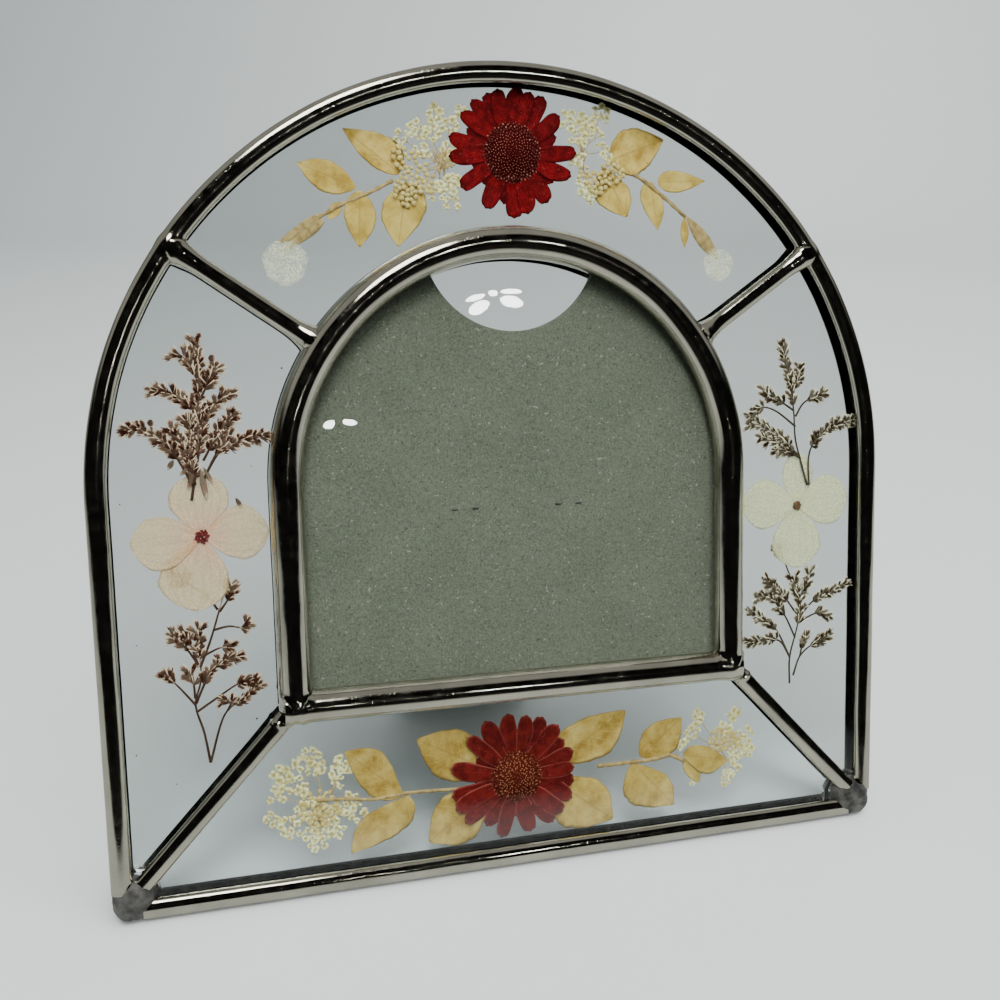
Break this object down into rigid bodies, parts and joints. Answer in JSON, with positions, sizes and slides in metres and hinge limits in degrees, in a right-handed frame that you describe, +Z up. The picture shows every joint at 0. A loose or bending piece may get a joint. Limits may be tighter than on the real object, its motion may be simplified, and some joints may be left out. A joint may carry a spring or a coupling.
{
  "type": "pressed flower frame",
  "caption": "Arch-shaped leaded-glass photo frame with pressed flowers sealed in the glass panels round an arched photo opening, leaning on a hinged strut.",
  "frame": {"origin": "bottom centre of the bounding box, with the strut open", "axes": "+Z up, the front faces -Y, +X to the right of someone looking at the front"},
  "size_m": [0.1902, 0.0736, 0.1784],
  "materials": {
    "polished_solder": "polished dark solder, finely pitted",
    "dull_solder": "dull grey, lumpy solder",
    "clear_glass": "clear, smooth",
    "chipboard": "grey-green recycled board with specks",
    "hinge_steel": "zinc-plated sheet and wire",
    "crimson_petal": "dried dark red petal, matt",
    "golden_leaf": "dried golden leaf, fine veins",
    "cream_lace": "dried creamy florets, matt",
    "cream_petal": "thin translucent petal",
    "brown_statice": "dried brown buds and twigs"
  },
  "bodies": {
    "frame": {"outer_came_arch": "polished_solder", "outer_came_base": "polished_solder", "inner_came_arch": "polished_solder", "inner_came_sill": "polished_solder", "seam_upper_left": "polished_solder", "seam_upper_right": "polished_solder", "seam_lower_left": "polished_solder", "seam_lower_right": "polished_solder", "corner_solder_left": "dull_solder", "corner_solder_right": "dull_solder", "pane_top_front": "clear_glass", "pane_top_rear": "clear_glass", "pane_left_front": "clear_glass", "pane_left_rear": "clear_glass", "pane_right_front": "clear_glass", "pane_right_rear": "clear_glass", "pane_bottom_front": "clear_glass", "pane_bottom_rear": "clear_glass", "photo_glass": "clear_glass", "backing_board": "chipboard", "staple_left": "hinge_steel", "staple_right": "hinge_steel", "hinge_leaf_board": "hinge_steel", "hinge_pin": "hinge_steel", "daisy_top": "crimson_petal", "leaf_sprig_top_left": "golden_leaf", "leaf_sprig_top_right": "golden_leaf", "lace_top_left": "cream_lace", "lace_top_right": "cream_lace", "pale_petal_left": "cream_lace", "pale_petal_right": "cream_lace", "statice_left_upper": "brown_statice", "hydrangea_left": "cream_petal", "statice_left_lower": "brown_statice", "statice_right_upper": "brown_statice", "hydrangea_right": "cream_petal", "statice_right_lower": "brown_statice", "daisy_bottom": "crimson_petal", "leaf_pair_bottom_left": "golden_leaf", "leaf_pair_bottom_right": "golden_leaf", "leaf_sprig_bottom_left": "golden_leaf", "leaf_sprig_bottom_right": "golden_leaf", "lace_bottom_left": "cream_lace", "lace_bottom_right": "cream_lace"},
    "strut": {"hinge_leaf_strut": "hinge_steel", "easel_strut": "chipboard"}
  },
  "joints": [
    {"name": "strut_hinge", "type": "hinge", "parent": "frame", "child": "strut", "pos_m": [0, -0.00161, 0.08439], "axis": [-1, 0, 0], "range_deg": [0, 40]}
  ]
}
